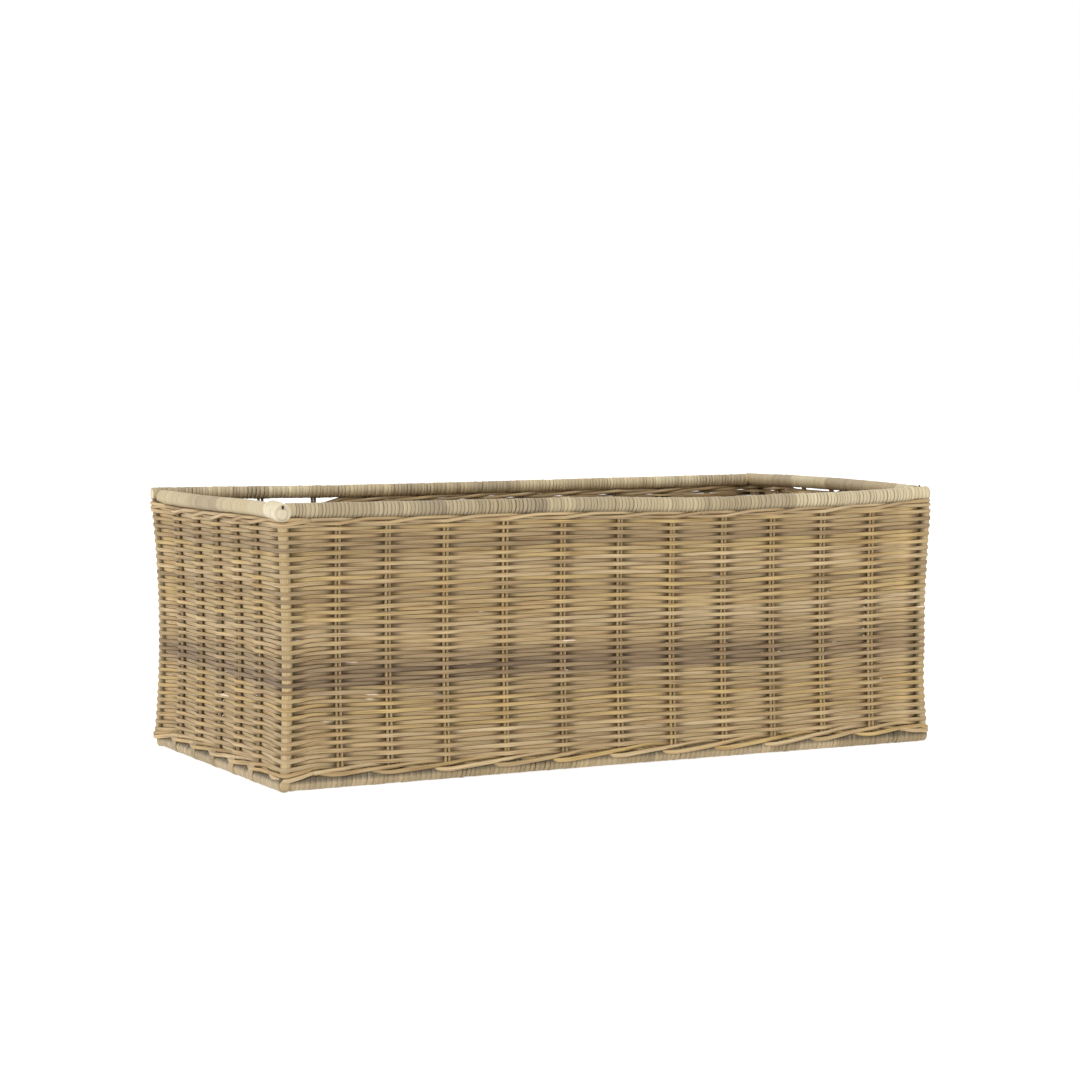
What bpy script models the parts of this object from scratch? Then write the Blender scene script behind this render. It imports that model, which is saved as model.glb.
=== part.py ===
"""Open rectangular storage basket, woven from rattan core on a rattan pole frame.

Four poles make the rim and four the foot. Each pole of a ring runs through to
the outside at one end, and is coped at the other to the pole that crosses it
there, in turn round the ring. Every pole is sheathed in close-wound peel. Four
corner posts stand between the two rings.
Pairs of thin core stand up the walls between the rings, and two side weavers
chase each other round them in one long climb: where one passes outside a
stake, the other passes inside it. Five flat pairs of core run along the
bottom, and one base weaver goes back and forth across them.

Metres, +Z up, the basket standing on z = 0. X is along its length and the
front wall faces -Y. The weave is the piece of skill here. The real strands
are half as tall, so each round of a weaver here stands for two of its rounds.
"""
import math

import bmesh
import bpy
from mathutils import Matrix, Vector

# Overall size, over the sheathed poles
LENGTH = 0.600
WIDTH = 0.296
HEIGHT = 0.222

# Clearances
GAP = 0.0003
WEAVE_GAP = 0.0005
ROW_GAP = 0.0004
OVERRUN = 0.002

# Poles of the rim and foot, and the peel wound round them
POLE_DIAMETER = 0.0090
PEEL_THICKNESS = 0.0010
COPE_TIP = 0.0034
RAIL_SIDES = 12

# Corner posts
POST_DIAMETER = 0.0080
POST_INSET = 0.0030
POST_SIDES = 8

# Stakes: two rods side by side, drawn as one body with a waist
ROD_DIAMETER = 0.0028
ROD_SPACING = 0.0030
WAIST_SHARE = 0.55
FRONT_STAKE_SHARES = (
    0.078, 0.151, 0.236, 0.326, 0.415, 0.504, 0.588, 0.672, 0.753, 0.838, 0.921,
)
SIDE_STAKE_SHARES = (0.185, 0.345, 0.510, 0.680, 0.855)

# The walls are drawn in between the rim and the foot, in this many straight runs
BOW = 0.0033
BOW_RUNS = 3

# Side weavers
STRAND_HEIGHT = 0.0064
STRAND_THICKNESS = 0.0026
EDGE_GAP = 0.0005
CORNER_TURN = math.radians(45)

# Base weaver
BASE_STRAND_WIDTH = 0.0136

# What follows from the sizes above
RAIL_RADIUS = POLE_DIAMETER / 2 + GAP + PEEL_THICKNESS
RAIL_X = LENGTH / 2 - RAIL_RADIUS
RAIL_Y = WIDTH / 2 - RAIL_RADIUS
FOOT_Z = RAIL_RADIUS
RIM_Z = HEIGHT - RAIL_RADIUS
STAND_FOOT = FOOT_Z + RAIL_RADIUS + GAP
STAND_TOP = RIM_Z - RAIL_RADIUS - GAP
POST_X = RAIL_X - POST_INSET
POST_Y = RAIL_Y - POST_INSET
WEAVE_REACH = ROD_DIAMETER / 2 + WEAVE_GAP + STRAND_THICKNESS / 2
POST_REACH = POST_DIAMETER / 2 + GAP + STRAND_THICKNESS / 2
INNER_X = LENGTH / 2 - 2 * RAIL_RADIUS - GAP
INNER_Y = WIDTH / 2 - 2 * RAIL_RADIUS - GAP

# sRGB colour and roughness of each kind of piece, read from the photograph
FINISHES = {
    "peel": ((0.81, 0.76, 0.63), 0.55),
    "pole": ((0.78, 0.70, 0.54), 0.65),
    "post": ((0.76, 0.67, 0.50), 0.60),
    "stake": ((0.72, 0.63, 0.48), 0.65),
    "strand": ((0.71, 0.62, 0.48), 0.65),
}


def clear_scene():
    for old in list(bpy.data.objects):
        bpy.data.objects.remove(old, do_unlink=True)


def finish(kind, name):
    """A material for one piece, in the colour of its kind."""
    colour, roughness = FINISHES[kind]
    material = bpy.data.materials.new(name)
    material.use_nodes = True
    shader = material.node_tree.nodes["Principled BSDF"]
    shader.inputs["Base Color"].default_value = (*(part ** 2.2 for part in colour), 1)
    shader.inputs["Roughness"].default_value = roughness
    shader.inputs["Metallic"].default_value = 0
    return material


def place(name, kind, shape, smooth_degrees=0):
    """Turn a bmesh into a named object with its own material."""
    bmesh.ops.recalc_face_normals(shape, faces=shape.faces)
    mesh = bpy.data.meshes.new(name)
    shape.to_mesh(mesh)
    shape.free()
    if smooth_degrees:
        mesh.shade_smooth()
        mesh.set_sharp_from_angle(angle=math.radians(smooth_degrees))
    mesh.materials.append(finish(kind, name))
    piece = bpy.data.objects.new(name, mesh)
    bpy.context.scene.collection.objects.link(piece)
    return piece


def loft(rings, hollow=False):
    """Join rings of points into a closed body: capped, or hollow with the last ring joined to the first."""
    shape = bmesh.new()
    loops = [[shape.verts.new(point) for point in ring] for ring in rings]
    pairs = list(zip(loops, loops[1:]))
    if hollow:
        pairs.append((loops[-1], loops[0]))
    for near, far in pairs:
        for k in range(len(near)):
            after = (k + 1) % len(near)
            shape.faces.new((near[k], near[after], far[after], far[k]))
    if not hollow:
        shape.faces.new(reversed(loops[0]))
        shape.faces.new(loops[-1])
    return shape


def polygon(sides, flat_radius):
    """A regular outline whose flat sides lie flat_radius from its middle, one of them at the bottom."""
    corner = flat_radius / math.cos(math.pi / sides)
    turns = [math.tau * (k + 1 / 2) / sides - math.pi / 2 for k in range(sides)]
    return [(corner * math.cos(turn), corner * math.sin(turn)) for turn in turns]


def section(centre, across, up, outline):
    return [centre + across * a + up * b for a, b in outline]


# Rim and foot

def rail_section(place_along, fixed, z, runs_along_x, flat_radius):
    """One cross-section of a rail, square to the way that it runs."""
    if runs_along_x:
        centre, across = Vector((place_along, fixed, z)), Vector((0, 1, 0))
    else:
        centre, across = Vector((fixed, place_along, z)), Vector((-1, 0, 0))
    return section(centre, across, Vector((0, 0, 1)), polygon(RAIL_SIDES, flat_radius))


def pole(name, start, end, fixed, z, runs_along_x):
    radius = POLE_DIAMETER / 2 * math.cos(math.pi / RAIL_SIDES)
    ends = [rail_section(at, fixed, z, runs_along_x, radius) for at in (start, end)]
    return place(name, "pole", loft(ends), smooth_degrees=40)


def sheath(name, start, end, fixed, z, runs_along_x):
    """The peel round one pole: its outer skin from end to end, then its bore back again."""
    bore = POLE_DIAMETER / 2 + GAP
    rings = [
        rail_section(start, fixed, z, runs_along_x, RAIL_RADIUS),
        rail_section(end, fixed, z, runs_along_x, RAIL_RADIUS),
        rail_section(end, fixed, z, runs_along_x, bore),
        rail_section(start, fixed, z, runs_along_x, bore),
    ]
    return place(name, "peel", loft(rings, hollow=True), smooth_degrees=40)


def cope_cutter(name, fixed, z, runs_along_x):
    """The crossing rail's shape and its clearance, which the butted rail's end is cut to."""
    half = (LENGTH if runs_along_x else WIDTH) / 2 + OVERRUN
    ends = [rail_section(at, fixed, z, runs_along_x, RAIL_RADIUS + GAP) for at in (-half, half)]
    cutter = place(name, "pole", loft(ends))
    cutter.hide_render = True
    cutter.display_type = "WIRE"
    return cutter


def cope(piece, cutter):
    cut = piece.modifiers.new("cope", "BOOLEAN")
    cut.operation = "DIFFERENCE"
    cut.solver = "EXACT"
    cut.object = cutter


def build_ring(ring, z):
    """Four rails in turn: each ends outside the ring on one side and is coped to the next on the other."""
    coped_x, coped_y = RAIL_X - COPE_TIP, RAIL_Y - COPE_TIP
    rails = {
        "left": (-WIDTH / 2, coped_y, -RAIL_X, False, "back"),
        "front": (-coped_x, LENGTH / 2, -RAIL_Y, True, "left"),
        "right": (-coped_y, WIDTH / 2, RAIL_X, False, "front"),
        "back": (-LENGTH / 2, coped_x, RAIL_Y, True, "right"),
    }
    cutters = {
        side: cope_cutter(f"{ring}_cope_{side}", fixed, z, runs_along_x)
        for side, (_, _, fixed, runs_along_x, _) in rails.items()
    }
    for side, (start, end, fixed, runs_along_x, crossing) in rails.items():
        cope(pole(f"{ring}_pole_{side}", start, end, fixed, z, runs_along_x), cutters[crossing])
        cope(sheath(f"{ring}_peel_{side}", start, end, fixed, z, runs_along_x), cutters[crossing])


# Uprights

def bow(z):
    """How far a wall is drawn in at height z: an arc from foot to rim, in straight runs."""
    run = (z - STAND_FOOT) / (STAND_TOP - STAND_FOOT) * BOW_RUNS
    low = min(max(int(run), 0), BOW_RUNS - 1)
    start, end = (4 * BOW * share * (1 - share) for share in (low / BOW_RUNS, (low + 1) / BOW_RUNS))
    return start + (end - start) * (run - low)


def stand_heights():
    return [STAND_FOOT + (STAND_TOP - STAND_FOOT) * k / BOW_RUNS for k in range(BOW_RUNS + 1)]


def from_other_end(shares):
    return [1 - share for share in reversed(shares)]


def uprights():
    """Name, foot, inward way and wall way of each upright, anticlockwise from the front left corner.

    Each wall starts with its corner post. A stake stands opposite the one in the facing wall.
    """
    far_front, far_side = from_other_end(FRONT_STAKE_SHARES), from_other_end(SIDE_STAKE_SHARES)
    walls = (
        ("front", "front_left", Vector((-1, -1, 0)), Vector((1, 0, 0)), POST_X, FRONT_STAKE_SHARES),
        ("right", "front_right", Vector((1, -1, 0)), Vector((0, 1, 0)), POST_Y, SIDE_STAKE_SHARES),
        ("back", "back_right", Vector((1, 1, 0)), Vector((-1, 0, 0)), POST_X, far_front),
        ("left", "back_left", Vector((-1, 1, 0)), Vector((0, -1, 0)), POST_Y, far_side),
    )
    found = []
    for wall, post_name, corner, way, half, shares in walls:
        inward = Vector((-way.y, way.x, 0))
        post = Vector((corner.x * POST_X, corner.y * POST_Y, 0))
        found.append((f"corner_post_{post_name}", post, -corner, way))
        first = post - inward * POST_INSET
        for k, share in enumerate(shares):
            found.append((f"{wall}_stake_{k + 1:02d}", first + way * (2 * half * share), inward, way))
    return found


def is_post(name):
    return name.startswith("corner_post")


def twin_rods():
    """Outline of two rods side by side: eight points, with a waist between the rods."""
    radius, middle = ROD_DIAMETER / 2, ROD_SPACING / 2
    waist = radius * WAIST_SHARE
    return [
        (middle + radius, 0), (middle, radius), (0, waist), (-middle, radius),
        (-middle - radius, 0), (-middle, -radius), (0, -waist), (middle, -radius),
    ]


def build_uprights():
    round_post = polygon(POST_SIDES, POST_DIAMETER / 2 * math.cos(math.pi / POST_SIDES))
    for name, foot, inward, way in uprights():
        if is_post(name):
            kind, outline, across, through = "post", round_post, Vector((1, 0, 0)), Vector((0, 1, 0))
        else:
            kind, outline, across, through = "stake", twin_rods(), way, inward
        rings = []
        for z in stand_heights():
            centre = foot + inward * bow(z) + Vector((0, 0, z))
            rings.append(section(centre, across, through, outline))
        place(name, kind, loft(rings), smooth_degrees=50)


# Weave

def mitred(points, k):
    """The level way square to the strand at point k, lengthened for the bend there."""
    point = points[k]
    before = point - points[k - 1] if k else points[k + 1] - point
    after = points[k + 1] - point if k + 1 < len(points) else before
    before = Vector((before.x, before.y, 0)).normalized()
    after = Vector((after.x, after.y, 0)).normalized()
    along = (before + after).normalized()
    return Vector((-along.y, along.x, 0)) / along.dot(before)


def strand(name, points, width, height):
    """A strand of diamond section through the points, width across and height up."""
    outline = ((width / 2, 0), (0, height / 2), (-width / 2, 0), (0, -height / 2))
    up = Vector((0, 0, 1))
    rings = [section(point, mitred(points, k), up, outline) for k, point in enumerate(points)]
    return place(name, "strand", loft(rings))


def round_corner(centre, inward, way, outside):
    """Where a side weaver bends round a post: at one point inside it, or three points outside."""
    reach = POST_REACH / math.cos(CORNER_TURN / 2)
    if not outside:
        return [centre + inward.normalized() * reach]
    outward = Vector((way.y, -way.x, 0))
    turns = [Matrix.Rotation(CORNER_TURN * back, 3, "Z") for back in (-2, -1, 0)]
    return [centre + turn @ outward * reach for turn in turns]


def side_weaver(name, phase, first, rounds, bottom, pitch):
    """One strand round and round the uprights, outside those whose number plus phase is even."""
    places = uprights()
    points = []
    for number in range(first, first + rounds * len(places) + 1):
        upright, foot, inward, way = places[number % len(places)]
        z = bottom + 2 * pitch * (number - phase * len(places) / 2) / len(places)
        outside = (number + phase) % 2 == 0
        centre = foot + inward * bow(z) + Vector((0, 0, z))
        if is_post(upright):
            points += round_corner(centre, inward, way, outside)
        else:
            points.append(centre + inward * (-WEAVE_REACH if outside else WEAVE_REACH))
    strand(name, points, STRAND_THICKNESS, STRAND_HEIGHT)


def build_walls():
    """Two weavers, half a round apart, spaced evenly up the height that there is."""
    bottom = STAND_FOOT + EDGE_GAP + STRAND_HEIGHT / 2
    climb = STAND_TOP - EDGE_GAP - STRAND_HEIGHT / 2 - bottom
    rounds = int(climb / (2 * (STRAND_HEIGHT + ROW_GAP)))
    half_round = len(uprights()) // 2
    last_share = (half_round + 2) / (2 * half_round) - 1 / 2
    pitch = climb / (2 * (rounds + last_share))
    side_weaver("side_weaver_1", 0, 1, rounds, bottom, pitch)
    side_weaver("side_weaver_2", 1, half_round + 2, rounds, bottom, pitch)
    spare = pitch - STRAND_HEIGHT
    print(f"walls: {rounds} rounds of each weaver, rows {pitch:.5f} m apart, least gap {spare:.5f} m")


def build_base():
    """Five flat pairs along the bottom, and one strand back and forth across them."""
    across, up = Vector((0, 1, 0)), Vector((0, 0, 1))
    rows = [POST_Y * (2 * share - 1) for share in SIDE_STAKE_SHARES]
    for number, y in enumerate(rows):
        ends = [section(Vector((x, y, FOOT_Z)), across, up, twin_rods()) for x in (-INNER_X, INNER_X)]
        place(f"base_stake_{number + 1}", "stake", loft(ends), smooth_degrees=50)
    half_x = INNER_X - BASE_STRAND_WIDTH / 2
    half_y = INNER_Y - BASE_STRAND_WIDTH / 2
    steps = int(2 * half_x / (BASE_STRAND_WIDTH + ROW_GAP))
    points = []
    for step in range(steps + 1):
        x = half_x * (2 * step / steps - 1)
        crossing = [Vector((x, -half_y, FOOT_Z))]
        for number, y in enumerate(rows):
            over = 1 if (step + number) % 2 == 0 else -1
            crossing.append(Vector((x, y, FOOT_Z + over * WEAVE_REACH)))
        crossing.append(Vector((x, half_y, FOOT_Z)))
        points += crossing if step % 2 == 0 else crossing[::-1]
    strand("base_weaver", points, BASE_STRAND_WIDTH, STRAND_THICKNESS)
    print(f"base: {steps + 1} passes")


clear_scene()
build_ring("foot", FOOT_Z)
build_ring("rim", RIM_Z)
build_uprights()
build_walls()
build_base()
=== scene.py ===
# %% [markdown]
# # A woven rattan basket
# This lesson dresses a measured frame of a storage basket. The frame is a plain model in metres with one
# solid for each pole, stake and strand. Here every strand gets its real thickness, its wander and its grain.
# The basket has four kinds of material: round core, which is the inside of the rattan vine drawn through a
# die; flat peel, which is the vine's hard skin; sanded poles; and small steel nails.
# All of the basket is made with one tool, a sweep: an outline carried along a line of points.

# %% Load the frame
import math

import bpy
import numpy as np
from mathutils import Matrix, Vector


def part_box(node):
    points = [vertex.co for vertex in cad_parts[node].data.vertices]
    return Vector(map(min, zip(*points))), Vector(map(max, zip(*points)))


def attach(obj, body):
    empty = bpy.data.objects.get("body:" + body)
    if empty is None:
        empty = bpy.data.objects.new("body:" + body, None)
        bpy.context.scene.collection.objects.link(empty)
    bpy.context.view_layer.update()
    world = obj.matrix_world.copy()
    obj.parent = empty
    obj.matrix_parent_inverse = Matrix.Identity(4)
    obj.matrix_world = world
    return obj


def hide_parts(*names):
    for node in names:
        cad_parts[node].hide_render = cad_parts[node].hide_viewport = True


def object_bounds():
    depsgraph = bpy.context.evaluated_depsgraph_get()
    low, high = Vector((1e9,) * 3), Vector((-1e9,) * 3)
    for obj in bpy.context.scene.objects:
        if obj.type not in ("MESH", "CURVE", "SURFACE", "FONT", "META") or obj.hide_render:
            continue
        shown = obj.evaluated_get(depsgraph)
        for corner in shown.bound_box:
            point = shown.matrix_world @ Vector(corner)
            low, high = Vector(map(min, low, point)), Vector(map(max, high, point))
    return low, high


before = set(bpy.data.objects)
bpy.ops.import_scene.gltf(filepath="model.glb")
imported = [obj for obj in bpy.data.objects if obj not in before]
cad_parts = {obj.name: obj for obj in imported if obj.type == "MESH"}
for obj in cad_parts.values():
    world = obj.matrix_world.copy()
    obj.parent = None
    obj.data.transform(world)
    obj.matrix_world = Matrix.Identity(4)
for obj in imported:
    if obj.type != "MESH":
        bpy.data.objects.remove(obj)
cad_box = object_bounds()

chance = np.random.default_rng(62)
print("frame:", len(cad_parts), "nodes, box", [round(v, 4) for v in (*cad_box[0], *cad_box[1])])

# %% [markdown]
# ## Read the sizes from the frame
# The frame already knows how thick a rail is and where each stake stands, so nothing is measured twice.
# We could type the numbers again, but then a new frame would leave the strands hanging in the air.
# The walls are drawn in a little between foot and rim. The frame bends its stakes in three straight runs,
# which reach eight ninths of that depth, so a stake's box gives the full depth too. The real posts are a
# hair thicker than the frame's.

# %% Sizes of rails, stakes and posts
def middle(node):
    low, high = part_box(node)
    return (low + high) / 2


rail_low, rail_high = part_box("rim_peel_left")
pole_low, pole_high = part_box("rim_pole_left")
rail_radius = (rail_high.z - rail_low.z) / 2
pole_radius = (pole_high.z - pole_low.z) / 2
foot_z = middle("foot_peel_left").z
rim_z = middle("rim_peel_left").z
foot_top = foot_z + rail_radius
rim_bottom = rim_z - rail_radius
rail_x = -middle("rim_peel_left").x
rail_y = -middle("rim_peel_front").y
half_length = cad_box[1].x
half_width = cad_box[1].y

base_rod_low, base_rod_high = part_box("base_stake_1")
rod_radius = (base_rod_high.z - base_rod_low.z) / 2
stake_low, stake_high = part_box("front_stake_05")
straight_runs_share = 8 / 9
bow_depth = (stake_high.y - stake_low.y - 2 * rod_radius) / straight_runs_share
post_low, post_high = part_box("corner_post_front_left")
post_extra = 0.0006
post_radius = (post_high.x - post_low.x - bow_depth * straight_runs_share) / 2 + post_extra
print(f"rails {rail_radius:.4f}, poles {pole_radius:.4f}, posts {post_radius:.4f}, bow {bow_depth:.4f}")

# %% [markdown]
# ## Where the real basket is out of true
# The frame is straight, and a basket made by hand isn't. The real one's corner posts stand a few millimetres
# further out than the frame's, and its right end leans out by 5 to 6 mm from mid height up. We could bend
# the finished meshes with a lattice. Here each path is moved before its outline is carried along it, so the
# strands stay round.

# %% Pushed-out corners, drawn-in walls and the leaning end
pushed_out = {"front_left": (0.0010, 0.0046), "front_right": (0.0046, 0.0046), "back_right": (0.0046, 0.0046),
              "back_left": (0.0068, 0.0056)}
lean_at_height = ((0.010, 0.0012), (0.038, 0.0020), (0.055, 0.0026), (0.085, 0.0050), (0.155, 0.0062),
                  (0.198, 0.0060), (0.208, 0.0030), (0.215, 0.0020))
lean_from, lean_over = 0.24, 0.05


def bow(z):
    """How far the walls are drawn in at height z."""
    share = np.clip((z - foot_top) / (rim_bottom - foot_top), 0, 1)
    return 4 * bow_depth * share * (1 - share)


def leaned(points):
    """Lean the points at the basket's right end out by what lean_at_height says, and return them."""
    amount = np.interp(points[:, 2], *zip(*lean_at_height))
    points[:, 0] += amount * np.clip((points[:, 0] - lean_from) / lean_over, 0, 1)
    return points


# %% [markdown]
# ## The uprights, in order round the basket
# A weaver sees the basket as a ring of uprights: a corner post, eleven stakes, the next post, five stakes,
# and so on. Each upright gets a number here, anticlockwise from the near corner, and a place on the plan.
# With numbers, the rule for plain weave is one line: even outside, odd inside, and the other way round for
# the second weaver.

# %% Places of the 36 uprights
walls = (
    ("front", "front_left", (1, 0), (0, 1), rail_y),
    ("right", "front_right", (0, 1), (-1, 0), rail_x),
    ("back", "back_right", (-1, 0), (0, -1), rail_y),
    ("left", "back_left", (0, -1), (1, 0), rail_x),
)
uprights = []
for wall, corner, way, inward, line in walls:
    way, inward = np.array(way, float), np.array(inward, float)
    low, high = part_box(f"corner_post_{corner}")
    toward_middle = way + inward
    outermost = np.array([
        low.x if toward_middle[0] > 0 else high.x,
        low.y if toward_middle[1] > 0 else high.y,
    ])
    outward = -toward_middle * np.array(pushed_out[corner])
    post = outermost + toward_middle * post_radius + outward
    wall_facts = dict(way=way, inward=inward, line=line)
    uprights.append(dict(node=f"corner_post_{corner}", post=True, place=post, **wall_facts))
    number = 1
    while f"{wall}_stake_{number:02d}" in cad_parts:
        node = f"{wall}_stake_{number:02d}"
        along = np.array(middle(node).xy) * np.abs(way)
        place = along - inward * line
        uprights.append(dict(node=node, post=False, place=place, **wall_facts))
        number += 1
ring = len(uprights)
print(ring, "uprights,", sum(u["post"] for u in uprights), "of them corner posts")

# %% [markdown]
# ## The sweep
# A strand, a rod and a turn of peel are all one outline carried along a line. Blender's curves can do that
# with a bevel, but a mesh made here can also carry two facts for the materials at every point: how far
# along the strand it lies (its grain) and what colour the strand has there (its tint).

# %% Sweep an outline, and join sweeps to a piece
UP = np.array((0.0, 0.0, 1.0))


def unit(vectors):
    return vectors / np.linalg.norm(vectors, axis=-1, keepdims=True)


def linear(hex_colour):
    """An sRGB hex value as three linear numbers."""
    parts = np.array([int(hex_colour[k:k + 2], 16) / 255 for k in (1, 3, 5)])
    return np.where(parts <= 0.04045, parts / 12.92, ((parts + 0.055) / 1.055) ** 2.4)


def rgba(hex_colour):
    return (*linear(hex_colour), 1)


def circle(sides):
    turns = np.arange(sides) * math.tau / sides
    return np.stack([np.cos(turns), np.sin(turns)], axis=1)


def sweep(points, outline, reference, tint):
    """A closed body along points. outline is across and up, and reference is roughly its up."""
    points = np.asarray(points, float)
    tangent = unit(np.gradient(points, axis=0))
    across = unit(np.cross(np.broadcast_to(reference, points.shape), tangent))
    up = np.cross(tangent, across)
    outline = np.broadcast_to(outline, (len(points), *np.shape(outline)[-2:]))
    spots = points[:, None] + across[:, None] * outline[..., :1] + up[:, None] * outline[..., 1:]
    steps = np.linalg.norm(np.diff(points, axis=0), axis=1)
    along = np.concatenate([[0], np.cumsum(steps)]) + chance.uniform(0, 50)
    rings, sides = outline.shape[:2]
    grain = np.dstack([np.broadcast_to(along[:, None], (rings, sides)), outline])
    corner = np.arange(rings * sides).reshape(rings, sides)
    after = np.roll(corner, -1, axis=1)
    quads = np.stack([corner[:-1], after[:-1], after[1:], corner[1:]], axis=-1).reshape(-1, 4)
    tint = np.asarray(tint)
    tints = np.broadcast_to(tint if tint.ndim == 3 else tint.reshape(-1, 1, 3), (rings, sides, 3))
    ends = [corner[0][::-1].tolist(), corner[-1].tolist()]
    return spots.reshape(-1, 3), quads, ends, grain.reshape(-1, 3), tints.reshape(-1, 3)


def add_piece(name, sweeps, material, nodes=()):
    """One object from several sweeps. It stands for the frame's nodes, and rides with the basket."""
    faces, start = [], 0
    for spots, quads, ends, _, _ in sweeps:
        faces += (quads + start).tolist()
        faces += [[corner + start for corner in end] for end in ends]
        start += len(spots)
    mesh = bpy.data.meshes.new(name)
    mesh.from_pydata(np.concatenate([s[0] for s in sweeps]).tolist(), [], faces)
    mesh.shade_smooth()
    mesh.set_sharp_from_angle(angle=math.radians(50))
    grain = mesh.attributes.new("grain", "FLOAT_VECTOR", "POINT")
    grain.data.foreach_set("vector", np.concatenate([s[3] for s in sweeps]).astype(np.float32).ravel())
    tints = np.concatenate([s[4] for s in sweeps])
    tint = mesh.attributes.new("tint", "FLOAT_COLOR", "POINT")
    tint.data.foreach_set("color", np.column_stack([tints, np.ones(len(tints))]).astype(np.float32).ravel())
    mesh.materials.append(material)
    piece = bpy.data.objects.new(name, mesh)
    bpy.context.scene.collection.objects.link(piece)
    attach(piece, "root")
    if nodes:
        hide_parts(*nodes)
    return piece


# %% [markdown]
# ## Rattan core
# Core is the vine with its skin taken off, drawn through a round die. It is matt and fibrous: straw-coloured
# with fine darker lines, the vine's vessels, which run along it about 0.4 mm apart. The eye sees streaks
# a few centimetres long. A picture of wood round each strand would repeat, and rows this close together
# would show it. A noise texture squeezed along the grain never repeats, and it lifts the fibres too.

# %% Node helper and the core material
def feed(tree, node, inputs):
    """Give inputs of a node their values, or the sockets that they follow."""
    for name, value in inputs.items():
        if isinstance(value, bpy.types.NodeSocket):
            tree.links.new(value, node.inputs[name])
        else:
            node.inputs[name].default_value = value


def add_node(tree, kind, settings=None, inputs=None):
    """A node with its settings and with what feeds it."""
    node = tree.nodes.new(kind)
    for name, value in (settings or {}).items():
        setattr(node, name, value)
    feed(tree, node, inputs or {})
    return node


def new_material(name, roughness):
    """A material, its node tree and its shader."""
    material = bpy.data.materials.new(name)
    material.use_nodes = True
    tree = material.node_tree
    shader = tree.nodes["Principled BSDF"]
    shader.inputs["Roughness"].default_value = roughness
    return material, tree, shader


def streaks(tree, across, length, detail=2.0):
    """Noise drawn out along the grain: across and length are the size of one streak in metres."""
    grain = add_node(tree, "ShaderNodeAttribute", {"attribute_name": "grain"})
    scaled = add_node(tree, "ShaderNodeVectorMath", {"operation": "MULTIPLY"},
                      {0: grain.outputs["Vector"], 1: (1 / length, 1 / across, 1 / across)})
    noise = add_node(tree, "ShaderNodeTexNoise", {},
                     {"Scale": 1.0, "Detail": detail, "Vector": scaled.outputs["Vector"]})
    return noise.outputs["Fac"]


def marked(tree, base, mark, pattern, low, high, most, blend="MULTIPLY"):
    """A base colour, marked with another one where a pattern goes from low to high, by most in the end."""
    share = add_node(tree, "ShaderNodeMapRange", {},
                     {"Value": pattern, "From Min": low, "From Max": high, "To Min": 0, "To Max": most})
    mix = add_node(tree, "ShaderNodeMix", {"data_type": "RGBA", "blend_type": blend},
                   {0: share.outputs["Result"], 6: base, 7: mark})
    return mix.outputs[2]


def rattan_core():
    """Drawn core: matt, with vessels 0.4 mm apart, here drawn 0.6 mm so that they show."""
    material, tree, shader = new_material("rattan_core", 0.62)
    tint = add_node(tree, "ShaderNodeAttribute", {"attribute_name": "tint"})
    vessels = streaks(tree, 0.0006, 0.030)
    stains = streaks(tree, 0.0030, 0.055)
    lined = marked(tree, tint.outputs["Color"], rgba("#9C8158"), vessels, 0.48, 0.66, 0.55)
    stained = marked(tree, lined, rgba("#B79A6C"), stains, 0.52, 0.72, 0.45)
    rough = add_node(tree, "ShaderNodeMapRange", {},
                     {"Value": vessels, "From Min": 0.3, "From Max": 0.7, "To Min": 0.50, "To Max": 0.74})
    bump = add_node(tree, "ShaderNodeBump", {}, {"Height": vessels, "Distance": 0.00018, "Strength": 0.6})
    feed(tree, shader, {
        "Base Color": stained, "Roughness": rough.outputs["Result"], "Normal": bump.outputs["Normal"],
    })
    return material


core_material = rattan_core()
print("material:", core_material.name)

# %% [markdown]
# ## Rattan peel
# Peel is the vine's skin, split off in flat strips and wound while wet. It is paler than core and has a low
# gloss, because the skin holds silica. It shows very fine lines along the strip and dull patches a few
# centimetres long where the skin was scraped. One material for peel and core would save work, but the eye
# tells skin from core by its gloss more than by its colour. The poles under the peel have lost their skin:
# they are matt, and their sawn ends are full of pores.

# %% Peel, pole and nail materials
def rattan_peel():
    """Vine skin: cream, low gloss, with lines 0.3 mm apart, here drawn 0.5 mm."""
    material, tree, shader = new_material("rattan_peel", 0.45)
    tint = add_node(tree, "ShaderNodeAttribute", {"attribute_name": "tint"})
    lines = streaks(tree, 0.0005, 0.040)
    scrapes = streaks(tree, 0.0040, 0.018, detail=4.0)
    lined = marked(tree, tint.outputs["Color"], rgba("#A8946C"), lines, 0.50, 0.70, 0.40)
    scraped = marked(tree, lined, rgba("#A99A7C"), scrapes, 0.55, 0.75, 0.45, "MIX")
    rough = add_node(tree, "ShaderNodeMapRange", {},
                     {"Value": scrapes, "From Min": 0.35, "From Max": 0.70, "To Min": 0.36, "To Max": 0.62})
    bump = add_node(tree, "ShaderNodeBump", {}, {"Height": lines, "Distance": 0.00012, "Strength": 0.5})
    feed(tree, shader, {
        "Base Color": scraped, "Roughness": rough.outputs["Result"], "Normal": bump.outputs["Normal"],
    })
    return material


def sanded_pole():
    """Whole vine, skinned and sanded: matt tan, and its cut ends are full of pores 0.4 mm wide."""
    material, tree, shader = new_material("sanded_rattan_pole", 0.60)
    tint = add_node(tree, "ShaderNodeAttribute", {"attribute_name": "tint"})
    pores = streaks(tree, 0.0004, 0.025, detail=3.0)
    pored = marked(tree, tint.outputs["Color"], rgba("#98794C"), pores, 0.46, 0.64, 0.5)
    bump = add_node(tree, "ShaderNodeBump", {}, {"Height": pores, "Distance": 0.00020, "Strength": 0.6})
    feed(tree, shader, {"Base Color": pored, "Normal": bump.outputs["Normal"]})
    return material


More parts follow.
